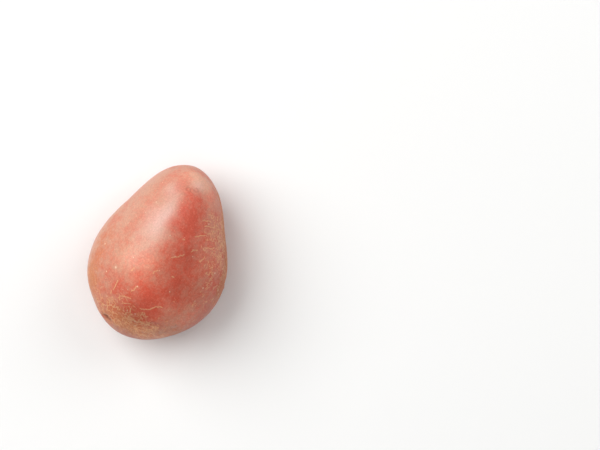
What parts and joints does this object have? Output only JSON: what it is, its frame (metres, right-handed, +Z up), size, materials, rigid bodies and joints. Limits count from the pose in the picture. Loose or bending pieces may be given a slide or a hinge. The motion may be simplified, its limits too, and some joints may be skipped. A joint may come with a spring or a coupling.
{
  "type": "potato",
  "caption": "Whole red-skinned potato, pear-shaped and slightly flattened, with shallow eyes, a stem scar and a small flat spot on its belly to rest on.",
  "frame": {"origin": "on the surface that the potato rests on, below the centre of its box", "axes": "+Z up, +X along the potato from its broad stem end to its narrow bud end, +Y to the left of +X"},
  "size_m": [0.092, 0.0694, 0.06],
  "materials": {
    "skin": "thin pink-red skin with tan netting, satin sheen, smooth to finely rough"
  },
  "bodies": {
    "root": {"potato": "skin"}
  },
  "joints": []
}
